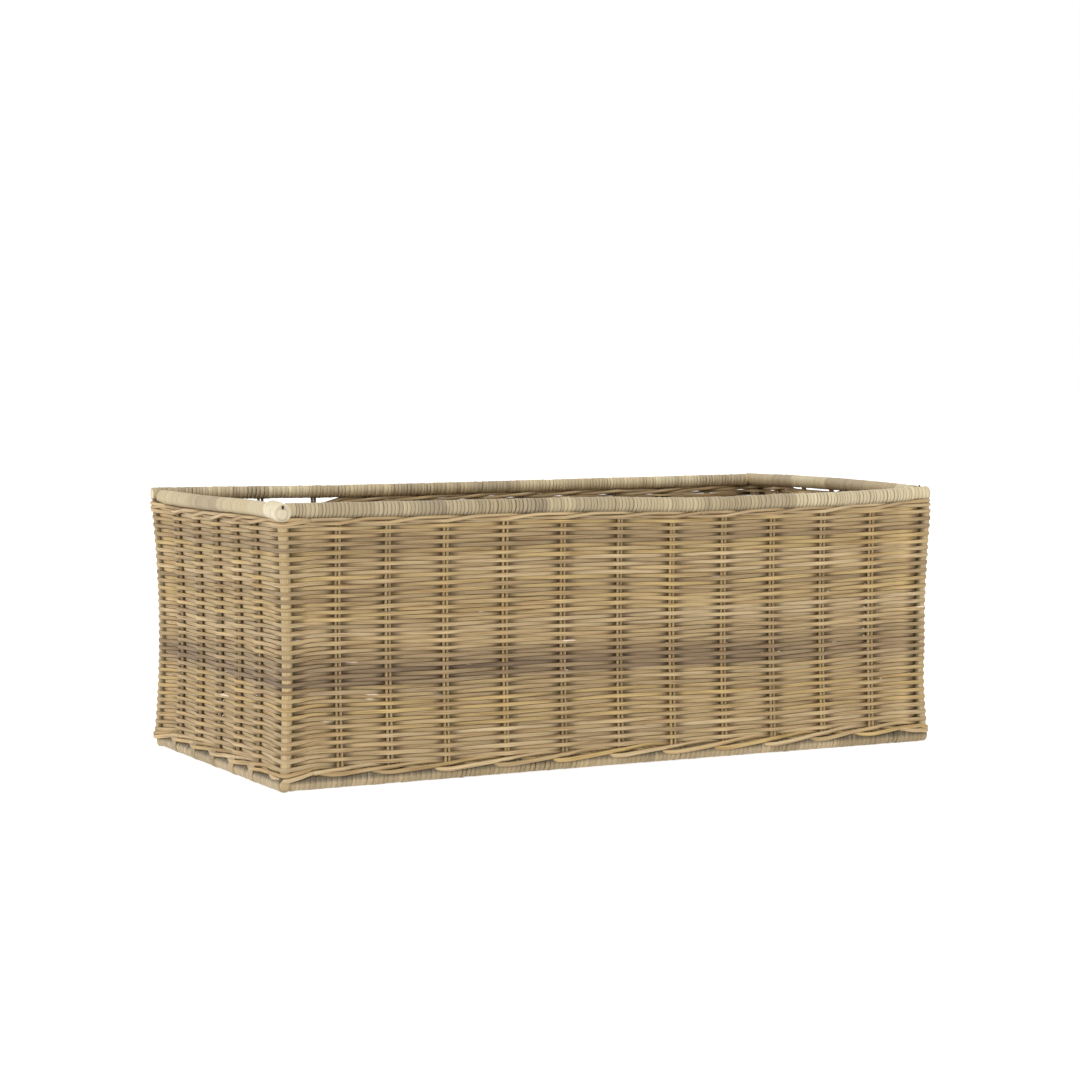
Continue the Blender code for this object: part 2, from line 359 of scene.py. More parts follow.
def nail_steel():
    """Drawn steel wire nail, dulled by rust: dark and half matt, with pits of 0.2 mm."""
    material, tree, shader = new_material("dull_steel_nail", 0.5)
    pits = streaks(tree, 0.0002, 0.0002)
    rusted = marked(tree, rgba("#3C3732"), rgba("#5A4636"), pits, 0.45, 0.65, 1, "MIX")
    rough = add_node(tree, "ShaderNodeMapRange", {},
                     {"Value": pits, "From Min": 0.3, "From Max": 0.7, "To Min": 0.38, "To Max": 0.7})
    feed(tree, shader, {"Metallic": 1, "Base Color": rusted, "Roughness": rough.outputs["Result"]})
    return material


peel_material = rattan_peel()
pole_material = sanded_pole()
nail_material = nail_steel()
print("materials:", peel_material.name, pole_material.name, nail_material.name)

# %% [markdown]
# ## One strand's way round the basket
# In plan, a weaving strand passes outside one upright and inside the next. For string a sine wave would do,
# but core is stiff: it runs almost straight between stakes and bends close beside them, and that is what
# leaves the small dark holes in columns; painted shade on the strands makes them darker. At a corner post
# the outside strand wraps a quarter turn, and the inside one cuts across behind the post. So an offset from
# the wall's line is worked out beside stakes and beside posts, and one is led into the other.

# %% A strand beside stakes and beside a post
core_diameter = 0.00310
core_flatness = 0.78
rod_clearance, post_clearance = 0.0002, 0.0001
reach = rod_radius + core_diameter / 2 * core_flatness + rod_clearance
post_reach = post_radius + post_clearance
behind_post = post_reach * math.sqrt(0.5)
bend_width, bend_share = 0.0078, 0.84
held_share, held_bend_share = 0.8, 0.2
cut_slope, cut_bend = 0.2, 0.004
straighten_from, straighten_to = 0.008, 0.028


def smooth_step(value, low, high):
    share = np.clip((value - low) / (high - low), 0, 1)
    return share * share * (3 - 2 * share)


def beside_stakes(near, far, side_near, side_far):
    """Offset of a strand at distances near and far from two stakes, which it passes on these sides."""
    bend_near, bend_far = np.exp(-(near / bend_width) ** 2), np.exp(-(far / bend_width) ** 2)
    if side_near == side_far:
        return reach * side_near * (held_share + held_bend_share * (bend_near + bend_far))
    drift = np.cos(math.pi * near / (near + far))
    bends = side_near * bend_near + side_far * bend_far
    return reach * (bend_share * bends + (1 - bend_share) * side_near * drift)


def beside_post(distance, side, inset):
    """Offset of a strand at a distance along the wall from a corner post."""
    if side > 0:
        return post_reach - inset + 0 * distance
    past = distance - behind_post
    cut = cut_slope * past + (1 - cut_slope) * cut_bend * (1 - np.exp(-past / cut_bend))
    return cut - inset - behind_post


def led_to_post(offset, distance, side, inset):
    """Offsets beside stakes, led into those beside a post that is a distance away."""
    by_post = beside_post(distance, side, inset)
    return by_post + (offset - by_post) * smooth_step(distance, straighten_from, straighten_to)


# %% [markdown]
# ## The path as rings
# A path is an array with one row for each ring of the strand's mesh. The rings are close together where the
# strand bends and far apart where it is straight, which keeps the meshes light. Each path is worked out once
# for a pattern of sides, outside 1 and inside -1, and every strand of that pattern follows it.

# %% Once round the basket
corner_bow_share = 1.2
wrap_step = 15
steps_beside_stake = (0, 0.0025, 0.005, 0.008, 0.012, 0.0175)
steps_beside_wrap = (0, 0.004, 0.008, 0.012, 0.017, 0.022)
steps_behind_post = (0, 0.0007, 0.0016, 0.0028, 0.0045, 0.0070, 0.0110, 0.0160, 0.0220)


def ring_steps(upright, side):
    """Distances from an upright at which a strand that passes on this side has its rings."""
    if not upright["post"]:
        return np.array(steps_beside_stake)
    return np.array(steps_beside_wrap) if side > 0 else behind_post + np.array(steps_behind_post)


def quarter_wrap(post, number):
    """The rings of an outside strand round a corner post, before it reaches the next wall."""
    rows = []
    for turn in np.radians(np.arange(-90, 0, wrap_step)):
        outward = -post["inward"] * math.cos(turn) + post["way"] * math.sin(turn)
        drawn = (post["way"] + post["inward"]) * corner_bow_share
        rows.append((*(post["place"] + outward * post_reach), *drawn, *outward, number, 1.0))
    return rows


def wall_path(sides):
    """Once round the basket. Rows: x, y, way in (x, y), outward way (x, y), upright number, depth."""
    rows = []
    for number, here in enumerate(uprights):
        after = uprights[(number + 1) % ring]
        side, side_after = sides[number], sides[(number + 1) % ring]
        way, inward = here["way"], here["inward"]
        start, end = (u["place"] - inward * (u["place"] @ inward + here["line"]) for u in (here, after))
        span = np.linalg.norm(end - start)
        inset = (here if here["post"] else after)["place"] @ inward + here["line"]
        near = np.array([*ring_steps(here, side), span / 2, *(span - ring_steps(after, side_after)[:0:-1])])
        left = span - near
        offset = beside_stakes(near, left, side, side_after)
        if here["post"]:
            past_stake = beside_stakes(near + span, left, -side_after, side_after)
            offset = led_to_post(np.where(near < span / 2, past_stake, offset), near, side, inset)
            if side > 0:
                rows += quarter_wrap(here, number)
        if after["post"]:
            past_stake = beside_stakes(near, left + span, side, -side)
            offset = led_to_post(np.where(left < span / 2, past_stake, offset), left, side_after, inset)
        for distance, out in zip(near, offset):
            from_post = here["post"] * max(0, 1 - distance / span)
            to_post = after["post"] * min(1, distance / span)
            drawn = inward * (1 - (1 - corner_bow_share) * (from_post + to_post))
            drawn = drawn + way * corner_bow_share * (from_post - to_post)
            spot = start + way * distance - inward * out
            rows.append((*spot, *drawn, *(-inward), number + distance / span, out / reach))
    return np.array(rows)


weave_paths = [wall_path([1 if (k + phase) % 2 == 0 else -1 for k in range(ring)]) for phase in (0, 1)]
print("one round of a strand has", len(weave_paths[0]), "rings")

# %% Parts of a path, and their place on the wall
posts = np.array([u["place"] for u in uprights if u["post"]])
post_nearness = 0.010


def stretch(path, first, last):
    """The part of a closed path from one upright number to another, as often round as that takes."""
    rounds = range(int(first // ring), int(last // ring) + 1)
    laps = [path + np.array([0, 0, 0, 0, 0, 0, ring * lap, 0]) for lap in rounds]
    rows = np.concatenate(laps)
    return rows[(rows[:, 6] >= first) & (rows[:, 6] <= last)]


def near_post(rows):
    """How close each ring of a path is to a corner post: 1 beside it, 0 from about two centimetres away."""
    distance = np.linalg.norm(rows[:, None, :2] - posts, axis=2).min(1) - post_reach
    return np.exp(-(np.clip(distance, 0, None) / post_nearness) ** 2)


def on_wall(rows, z, bulge=0):
    """The points of a strand: the rings of its path at heights z, and moved out by bulge."""
    spots = rows[:, :2] + rows[:, 2:4] * bow(z)[:, None] + rows[:, 4:6] * np.reshape(bulge, (-1, 1))
    return leaned(np.column_stack([spots, z]))


# %% [markdown]
# ## Heights of the rows
# Two weavers chase each other up the wall, half a round apart, so each climbs two rows in a round. Real core
# is never quite even, and a thick stretch pushes the rows above it up. Evenly spaced rows would show that at
# once. So the thickness is chosen first, the rows are stacked at every place round the basket, and the stack
# is fitted between the two borders. Its lower end follows the foot, which the weave leaves here and there.
# Its upper end follows the front rim, which sags, and opens a slit in the back wall, through which light
# shows. Both ends are read from pairs of an upright's number and a height in metres.

# %% Slit under the rim and lift over the foot
slit_heights = (
    (0, -0.0010), (0.8, -0.0006), (1.6, 0), (4.0, 0.0004), (5.0, 0.0010), (6.0, 0.0022), (7.0, 0.0040),
    (8.0, 0.0044), (9.0, 0.0038), (10.0, 0.0036), (11.0, 0.0026), (11.7, 0.0014), (12.0, 0.0008), (12.6, 0),
    (13.4, -0.0012), (14.6, -0.0015), (14.9, 0.0010), (16.3, 0.0008), (16.6, -0.0013), (18.0, -0.0010),
    (19.5, -0.0008), (19.7, 0.0006), (20.7, 0.0006), (21.0, -0.0005), (24.0, -0.0005), (24.6, 0), (26.5, 0),
    (26.8, 0.0046), (28.0, 0.0050), (28.6, 0), (29.3, -0.0015), (30.0, -0.0012), (30.6, 0.0006),
    (31.2, 0.0014), (33.0, 0.0012), (34.6, 0), (36, -0.0010),
)
lift_heights = (
    (0, 0.0004), (0.4, 0.0027), (1.0, 0.0023), (2.2, 0.0010), (3.0, 0), (6.5, 0), (7.2, -0.0008),
    (9.2, -0.0008), (10.4, 0.0010), (11.7, 0.0016), (12.2, 0.0010), (13.0, 0.0022), (17.0, 0.0022),
    (18.0, 0), (30.0, 0), (30.8, 0.0025), (35.3, 0.0025), (36, 0.0004),
)
wale_height = 0.0064
rim_tuck, foot_tuck, wale_overlap = 0.0012, 0.0042, 0.0005


def slit(number):
    """How far the weave stays below its usual height under the rim."""
    return np.interp(number % ring, *zip(*slit_heights))


def lift(number):
    """How far the weave stands off the foot rail."""
    return np.interp(number % ring, *zip(*lift_heights))


def weave_top(number):
    """Height at which the plain weave ends and the rim's wale begins."""
    return rim_bottom + rim_tuck - wale_height + wale_overlap - slit(number)


# %% Stack the rows
rounds = 29
starts = (30, 12)
grid = 8 * ring
steps = rounds * grid
short_stretch, quick_change, slow_change = 0.06 * grid, 0.045, 0.04


def uneven(count, knots, amount):
    """Smooth random values: one knot every few steps, and a straight line between them."""
    spots = np.linspace(0, count - 1, int(count / knots) + 2)
    return np.interp(np.arange(count), spots, chance.normal(0, amount, len(spots)))


thickness = []
for _ in starts:
    quick, slow = uneven(steps + 1, short_stretch, quick_change), uneven(steps + 1, grid, slow_change)
    thickness.append(core_diameter * (1 + quick + slow))


def stacked(which):
    """Heights of one weaver's middle line at every step of its climb."""
    own, other = thickness[which], thickness[1 - which]
    turned = np.arange(grid) / grid
    late = turned >= 0.5
    own_rows = own[:-1].reshape(rounds, grid)
    other_rows = np.roll(other[:-1].reshape(rounds, grid), -grid // 2, axis=1)
    wedge = 2 * turned % 1
    coming = np.where(late, own[0], other[0]) * wedge
    leaving = np.where(late, other[-1], own[-1]) * (1 - wedge)
    total = coming + leaving + own_rows.sum(0) + other_rows.sum(0)
    below_own = np.cumsum(own_rows, axis=0) - own_rows
    below_other = np.cumsum(other_rows, axis=0) - np.where(late, 0, 1) * other_rows
    share = (coming + below_own + below_other + own_rows / 2) / total
    number = starts[which] + turned * ring
    low = foot_top - foot_tuck + wale_height + lift(number)
    return (low + share * (weave_top(number) - low)).ravel()


heights = [stacked(which) for which in (0, 1)]
print(f"{2 * rounds} rows, {np.diff(heights[0].reshape(rounds, grid), axis=0).mean() / 2:.5f} m apart")

# %% Ripples: rows bend up and down together
ripples = [
    (chance.integers(2, 13), chance.uniform(0.04, 0.12), *chance.uniform(0, math.tau, 2)) for _ in range(9)
]
ripple_height = 0.00030


def rippled(number, z):
    """Heights z with nine waves added, whole ones round the basket, strongest at mid height."""
    share = (z - foot_top) / (rim_bottom - foot_top)
    moved = sum(np.sin(math.tau * number * waves / ring + a) * np.sin(math.tau * z / length + b)
                for waves, length, a, b in ripples)
    return z + ripple_height * moved * 4 * share * (1 - share)


# %% [markdown]
# ## The colour of each strand
# No two lengths of core match. Most are straw or tan, some are yellowish, and the heart of the vine is a
# greyish brown: two brown lengths make the dark band round the lower half, and another a faint one near the
# rim. Where a tool or a knee has scuffed a strand, the pale inside shows as a short bright fleck. A noise
# texture over the whole basket would run across the strands, so each ring of a strand gets its own colour
# when the strand is made.

# %% Tints
core_tints = [linear(h) for h in ("#C3AB82", "#B89E72", "#AE956B", "#BDA16A", "#A68D65", "#B4996B")]
heart_tint = linear("#6B5440")
brown_bands = (  # height, half width and strength
    (0.0868, 0.0112, 1.0),
    (0.186, 0.0070, 0.45),
)
band_numbers, band_shares = (0, 5, 8, 12, 18, 30, 36), (1.05, 0.90, 0.72, 0.58, 0.4, 0.6, 0.9)
band_ripple = uneven(grid, 0.05 * grid, 0.12)
brown_share, least_brown, most_brown, brown_change = 0.78, 0.2, 0.95, 0.20
blend_change, tint_change = 0.35, 0.07
unbanded_number, unbanded_height = 6.0, 0.15


def core_tint(number, z):
    """Tint at each ring of a strand: its own two colours, and brown near the heights of the bands."""
    own = core_tints[chance.integers(len(core_tints))]
    other = core_tints[chance.integers(len(core_tints))]
    count = len(number)
    blend = np.clip(0.5 + uneven(count, 40, blend_change), 0, 1)[:, None]
    tint = own * blend + other * (1 - blend)
    tint = tint * (1 + uneven(count, 14, tint_change))[:, None]
    strength = np.interp(number % ring, band_numbers, band_shares)
    strength = strength + np.interp(number % ring, np.arange(grid) * ring / grid, band_ripple)
    own_share = np.clip(brown_share + uneven(count, 45, brown_change), least_brown, 1)
    brown = sum(amount * np.exp(-((z - level) / width) ** 2) for level, width, amount in brown_bands)
    brown = np.clip(brown * strength * own_share, 0, most_brown)[:, None]
    return tint * (1 - brown) + heart_tint * brown


def unbanded_tint(count):
    """Tint for a rod that has no part in the brown bands."""
    return core_tint(np.full(count, unbanded_number), np.full(count, unbanded_height))


# %% Painted shade in the weave, and scuffs
round_outline = circle(8)
unshaded_level, weave_shade_share, weave_shade_power = 0.88, 0.48, 1.9
darkest, most_inside = 0.22, 1.5
fleck_tint = linear("#E2D0BA")
fleck_half_length, fleck_half_height = 0.13, 0.0019
flecks = (  # upright number and height
    (0.79, 0.0524), (1.26, 0.0978), (1.67, 0.0687), (5.09, 0.1052), (12.0, 0.1176), (33.3, 0.060),
)


def painted_weave_shade(tint, depth, z, number):
    """Painted shade, darker where a strand faces into the weave. depth is 1 outside an upright and -1 or less
    inside it.

    A fleck shows on the upper outer side of a strand.
    """
    # Painted shade: the sides of a strand that turn into the weave are darkened as if in shade.
    facing = -round_outline[:, 0]
    inside = np.clip(0.5 - 0.5 * depth[:, None] * facing, 0, most_inside)
    shade = np.clip(unshaded_level - weave_shade_share * inside ** weave_shade_power, darkest, None)
    colours = tint[:, None] * shade[:, :, None]
    upper = (round_outline[:, 1] > 0.3) & (facing > -0.1)
    for fleck_number, fleck_z in flecks:
        beside = np.abs(number % ring - fleck_number) < fleck_half_length
        colours[np.ix_(beside & (np.abs(z - fleck_z) < fleck_half_height), upper)] = fleck_tint
    return colours


# %% [markdown]
# ## Weave the walls
# Each weaver is used up in lengths of about two rounds. A length ends on the inside of a stake, where its cut
# tip turns in and doesn't show, and the next one carries on from there. One mesh for the whole wall would be
# shorter to write, but each length is its own object, so that a reader can pick one out and follow it round.
# The last half round of a weaver is split thinner and thinner, as a maker does it, so that the plain weave
# ends level all round.

# %% Side weavers
full_outline = np.sign(round_outline) * np.abs(round_outline) ** 0.66
row_fullness = 1.10
flatter_at_post, painted_shade_at_post = 0.45, 0.16
tip_length, tip_turn = 0.010, 0.0022
wobble_knots, wobble = 7, 0.00008
shortest_length, longest_length = 1.5, 2.4


def joins(which):
    """Upright numbers where one length ends and the next begins: always behind a stake."""
    first, last = starts[which], starts[which] + rounds * ring
    places = [first]
    while places[-1] < last - longest_length * ring:
        place = places[-1] + int(chance.uniform(shortest_length, longest_length) * ring)
        while (place + which) % 2 == 0 or uprights[place % ring]["post"]:
            place += 1
        places.append(place)
    return [*places, last]


def weaver_length(which, first, last):
    """One length of a weaver between two upright numbers, with its end turned in."""
    rows = stretch(weave_paths[which], first, last)
    turned = (rows[:, 6] - starts[which]) / ring
    climb = np.arange(steps) / grid
    z = rippled(rows[:, 6], np.interp(turned, climb, heights[which]))
    z = z + uneven(len(z), wobble_knots, wobble)
    points = on_wall(rows, z)
    travelled = np.concatenate([[0], np.cumsum(np.linalg.norm(np.diff(points, axis=0), axis=1))])
    to_tip = np.clip(1 - (travelled[-1] - travelled) / tip_length, 0, 1)
    points[:, :2] -= rows[:, 4:6] * (tip_turn * to_tip ** 2)[:, None]
    radius = np.interp(turned, climb, thickness[which][:-1]) / 2
    depth = core_flatness * (1 - flatter_at_post * near_post(rows))
    outline = full_outline * np.stack([radius * depth, radius * row_fullness], axis=1)[:, None]
    # Painted shade on the strands beside a corner post.
    tint = core_tint(rows[:, 6], z) * (1 - painted_shade_at_post * near_post(rows))[:, None]
    return sweep(points, outline, UP, painted_weave_shade(tint, rows[:, 7], z, rows[:, 6]))


def tapered_end(which, first):
    """The last half round of a weaver, which gets thinner to nothing and stays level with the weave's top."""
    rows = stretch(weave_paths[which], first, first + ring / 2 - 1)
    thick = core_diameter * (1 - (rows[:, 6] - first) / (ring / 2))
    z = weave_top(rows[:, 6]) - thick / 2
    outline = full_outline * np.stack([thick / 2 * core_flatness, thick / 2 * row_fullness], axis=1)[:, None]
    tint = painted_weave_shade(core_tint(rows[:, 6], z), rows[:, 7], z, rows[:, 6])
    return sweep(on_wall(rows, z), outline, UP, tint)


for which in (0, 1):
    name, nodes = f"weaver_{which + 1}", [f"side_weaver_{which + 1}"]
    places = joins(which)
    for number, (first, last) in enumerate(zip(places, places[1:]), start=1):
        length = weaver_length(which, first, last)
        add_piece(f"{name}_length_{number:02d}", [length], core_material, nodes)
    add_piece(f"{name}_tapered_end", [tapered_end(which, places[-1])], core_material, nodes)
    print(f"{name}: {len(places) - 1} lengths and a tapered end")

# %% [markdown]
# ## The borders
# Plain weave would slide off its stakes, so it starts and ends with a wale: three rods, each passing outside
# two uprights and inside one. From outside a wale looks like a rope of long strokes that all rise the same
# way, with small dark wedges between strokes and rail. A twisted cord would look much like it from afar, but
# its strokes wouldn't begin and end at the stakes. So each rod is lifted while it is outside, and dropped
# again while it is hidden. At the foot there is too little room between rail and weave, and the outer rods
# lie on the shoulder of the rail.

# %% Three-rod wales at foot and rim
wale_high = 0.0047
wale_start = 24
foot_stroke = (0, 1.0, 1.6, 2.0, 2.5, 2.8, 3), (0.0012, 0.0042, 0.0060, 0.0052, 0.0022, 0.0010, 0.0012)
rim_stroke = (0, 0.55, 1.6, 2.1, 2.6, 3), (0.0011, wale_high, wale_high, 0.0030, 0.0013, 0.0011)
outside_share = (0, 1, 1.5, 2.5, 3), (1, 1, 0, 0, 1)
foot_fullness, rim_fullness, wale_brightness = 1.16, 1.03, 1.04
sunk_in_peel, most_bulge, held_at_post = 0.4, 0.0050, 0.9
rod_wobble, rod_change = 0.00012, 0.04


def wedge_height(number):
    """Height still free under the first row: it grows from nothing to one row, twice a round."""
    return (number - starts[0]) / ring * 2 % 1 * core_diameter


def off_the_rail(spots, z):
    """How far a rod at these spots has to move out to lie on the shoulder of the foot rail."""
    beyond = np.abs(spots) - (rail_x, rail_y)
    have = np.linalg.norm(np.clip(beyond, 0, None), axis=1) + np.clip(beyond.max(1), None, 0)
    touching = rail_radius + core_diameter * sunk_in_peel
    need = np.sqrt(np.clip(touching ** 2 - (z - foot_z) ** 2, 0, None))
    return np.clip(need - have, 0, most_bulge)


def wale_rod(rod, stroke, fullness, place):
    """One rod. place(number, height) turns its height in the wale into a height on the wall."""
    path = wall_path([-1 if (k - rod) % 3 == 2 else 1 for k in range(ring)])
    rows = stretch(path, wale_start + rod, wale_start + rod + ring + 1)
    in_stroke = (rows[:, 6] - rod) % 3
    z = place(rows[:, 6], np.interp(in_stroke, *stroke)) + uneven(len(rows), 9, rod_wobble)
    outside = np.interp(in_stroke, *outside_share)
    bulge = off_the_rail(rows[:, :2], z) * outside * (1 - held_at_post * near_post(rows))
    points = on_wall(rows, z, bulge)
    radius = core_diameter / 2 * (fullness + uneven(len(rows), 30, rod_change))
    tint = painted_weave_shade(core_tint(rows[:, 6], z) * wale_brightness, rows[:, 7], z, rows[:, 6])
    return sweep(points, round_outline * radius[:, None, None], UP, tint)


def foot_place(number, height):
    return foot_top - foot_tuck + lift(number) + height * (1 + wedge_height(number) / wale_height)


def rim_place(number, height):
    return rim_bottom + rim_tuck - wale_height + height - slit(number)


for rod in range(3):
    foot_rod = wale_rod(rod, foot_stroke, foot_fullness, foot_place)
    rim_rod = wale_rod(rod, rim_stroke, rim_fullness, rim_place)
    add_piece(f"foot_wale_rod_{rod + 1}", [foot_rod], core_material)
    add_piece(f"rim_wale_rod_{rod + 1}", [rim_rod], core_material)
print("wales: 3 rods at the foot and 3 at the rim")

# %% [markdown]
# ## Stakes and corner posts
# A stake is two rods of core side by side. They are stiff and straight, but the weaving draws them in a
# little at mid height, and each leans its own way by a hair. One thick rod would be simpler, but the dark
# line between the two shows wherever the weave leaves a stake bare, deepened by painted shade on the rods'
# flanks. The rods of the long walls get painted light and those of the short walls painted shade. They reach
# up into the winding of the rim, and where the slit under the back rim is open their ends get painted shade.
# The corner posts are whole thin vines.

# %% Stakes
rod_spacing = 0.0031
end_in_rail = 0.003
lean_most = 0.0003
stand = np.linspace(foot_z + end_in_rail, rim_z - end_in_rail, 24)
rod_share, rod_share_change = 0.96, 0.03
painted_flank_shade = 0.48
long_wall_painted_light, short_wall_painted_shade = 1.14, 0.85
painted_shade_under_rim, shaded_end_length = 0.35, 0.012


def stake_rod(upright, side):
    """One of a stake's two rods, on side -0.5 or 0.5."""
    inward, way = upright["inward"], upright["way"]
    base = upright["place"][None] + inward * bow(stand)[:, None]
    lean = np.outer(np.linspace(-1, 1, len(stand)), chance.uniform(-lean_most, lean_most) * way)
    spots = base + way * (side * rod_spacing) + lean
    radius = rod_radius * (rod_share + uneven(len(stand), 4, rod_share_change))
    # Painted light on the rods of the long walls, and painted shade on those of the short walls.
    tint = unbanded_tint(len(stand)) * (long_wall_painted_light if way[0] else short_wall_painted_shade)
    # Painted shade on the back stakes' ends, in the slit under the rim.
    if inward[1] < 0:
        tint[stand > rim_bottom - shaded_end_length] *= painted_shade_under_rim
    # Painted shade on each rod's flanks, which deepens the dark line between the two rods.
    tint = tint[:, None] * (1 - painted_flank_shade * round_outline[:, :1] ** 2)
    points = leaned(np.column_stack([spots, stand]))
    return sweep(points, round_outline * radius[:, None, None], (*inward, 0), tint)


# %% Corner posts, and one piece for each upright
post_outline = circle(16)
vine_tint, vine_change = linear("#AE986F"), 0.05
post_shade, shade_from, shade_way = 0.5, 0.4, (0.7, 0.7)


def corner_vine(upright):
    """A post: a whole vine, with painted shade on the side that faces into the basket."""
    inward, way = upright["inward"], upright["way"]
    base = upright["place"][None] + (way + inward) * corner_bow_share * bow(stand)[:, None]
    tint = vine_tint * (1 + uneven(len(stand), 3, vine_change))[:, None]
    shade = 1 - post_shade * np.clip(shade_from + post_outline @ shade_way, 0, 1)
    points = leaned(np.column_stack([base, stand]))
    return sweep(points, post_outline * post_radius, (*inward, 0), tint[:, None] * shade[:, None])


for upright in uprights:
    node = upright["node"]
    if upright["post"]:
        add_piece(f"{node}_vine", [corner_vine(upright)], pole_material, [node])
    else:
        rods = [stake_rod(upright, side) for side in (-0.5, 0.5)]
        add_piece(f"{node}_rods", rods, core_material, [node])
print("stakes:", sum(not u["post"] for u in uprights), "pairs of rods")

# %% [markdown]
# ## Poles and their winding
# Rim and foot are vines a finger thick, four to a ring, wound with peel from end to end. At one end a pole
# runs past its neighbour, and its sawn end shows as a pale disc. At the other it stops at the side of the
# next one, so that the four lie like a pinwheel. A striped texture could stand in for the peel, but its
# edges would be missing from the outline. So the winding is a real helix of flat strip, about 180 turns on
# a long rail of the rim, and fewer and wider turns on the foot. No turn is as wide as the last, and here and
# there one stands off its neighbour and leaves a dark line.

# %% Sawn poles
ease, unshaded_end, painted_shade_under_peel = 0.0006, 0.0012, 0.2


def risen(points, position, rise):
    """Lift points by a rail's rise, pairs of a distance along it and a height, and return them."""
    points[:, 2] += np.interp(position, *zip(*rise))
    return points


def bare_pole(start, along, length, end_tint, rise):
    """A sawn pole with its edges eased. Its ends keep their own colour, and under the peel it is painted
    dark, as shade that shows between the turns.
    """
    near_end = np.array([-0.00001, 0, ease, unshaded_end])
    between = np.linspace(2 * unshaded_end, length - 2 * unshaded_end, 12)
    spots = np.concatenate([near_end, between, length - near_end[::-1]])
    radius = pole_radius - np.array([pole_radius / 2, ease, *[0] * (len(spots) - 4), ease, pole_radius / 2])
    unshaded = (spots <= unshaded_end) | (spots >= length - unshaded_end)
    tint = np.outer(np.where(unshaded, 1, painted_shade_under_peel), end_tint)
    points = risen(start + along * spots[:, None], spots, rise)
    return sweep(points, circle(28) * radius[:, None, None], UP, tint)


# %% Where the turns of peel lie
strip_width, strip_thickness = 0.0033, rail_radius - pole_radius
strip_shape = np.array(
    [(0.5, -0.5), (0.5, 0.2), (0.38, 0.45), (0, 0.5), (-0.38, 0.45), (-0.5, 0.2), (-0.5, -0.5)]
)
turn_steps, most_turns = 22, 400
width_spread, narrowest, widest, least_varied = 0.22, -0.42, 0.5, 0.3
close_gap, loose_gaps, marked_gap, loose_share = 0.00003, (0.0003, 0.0009), 0.0008, 0.13


def turn_places(length, ragged, wide, marks):
    """Middles and widths of the turns that fill a length. At each mark a turn stands off its neighbour."""
    varied = np.clip(chance.normal(0, width_spread, most_turns), narrowest, widest)
    widths = strip_width * wide * (1 + varied * (least_varied + (1 - least_varied) * ragged))
    loose = chance.random(most_turns) < loose_share * ragged
    gaps = np.where(loose, chance.uniform(*loose_gaps, most_turns), close_gap)
    for mark in marks:
        gaps[int(mark / strip_width / wide)] = marked_gap
    edges = np.cumsum(widths + gaps)
    turns = int(np.searchsorted(edges, length))
    scale = length / edges[turns]
    widths, edges = widths[:turns + 1] * scale, edges[:turns + 1] * scale
    return edges - widths / 2, widths


# %% The colour of the peel, and painted shade at its seams and sides
rim_tints = [linear(h) for h in ("#C2B391", "#B8A785", "#AE9C79", "#BDAC87", "#A59475")]
foot_tints = [linear(h) for h in ("#B49F7B", "#A9946F", "#9E8963", "#AF9A73")]
turns_in_strip, strip_count, tint_count = (4, 16), 120, 200
peel_change, least_changed = 0.09, 0.25
collar_tint = linear("#D0C5A8")
seam_painted_shade, dark_seams, peel_brightness = 0.44, 0.16, 1.02
# Painted shade at the edges of each turn, in the grooves between turns; some seams get more.
edge_painted_shade = np.array((0.55, 0.38, 0.07, 0, 0.07, 0.38, 0.55))[:, None]
shade_fade = 0.35


def peel_tint(turn, angle, share, in_collar, ragged, tints, brightness, painted_shade_side):
    """Tint across the strip at each step: strips of several turns in one colour, and painted shade on one
    side and at the edges.

    The last argument says where the painted shade on one side lies: 1 on top or -1 below, from what height on
    the turn, and how dark.
    """
    strips = np.cumsum(chance.uniform(*turns_in_strip, strip_count)).searchsorted(turn)
    own = np.array(tints)[chance.integers(len(tints), size=tint_count)][strips]
    tint = own * (1 + uneven(len(angle), turn_steps, peel_change) * (least_changed + ragged))[:, None]
    tint = tint * np.interp(share, np.linspace(0, 1, len(brightness)), brightness)[:, None]
    tint = tint * (1 - in_collar[:, None]) + collar_tint * in_collar[:, None]
    side, shade_starts, shade_depth = painted_shade_side
    tint = tint * (1 - shade_depth * np.clip((np.cos(angle) * side - shade_starts) / shade_fade, 0, 1))[:, None]
    seam = np.where(chance.random(most_turns) < dark_seams, 1.0, seam_painted_shade)[turn.astype(int)][:, None, None]
    return tint[:, None] * (peel_brightness - seam * edge_painted_shade)


# %% A rail wound with peel
pressed_in = 0.0001
stand_off_knots, stand_off_spread, stand_off_limits = 0.7 * turn_steps, 0.00012, (-0.0002, 0.0003)
collar_length, collar_step, collar_height = 0.024, 0.001, 0.0024
collar_sides, collar_top = 0.45, 0.55


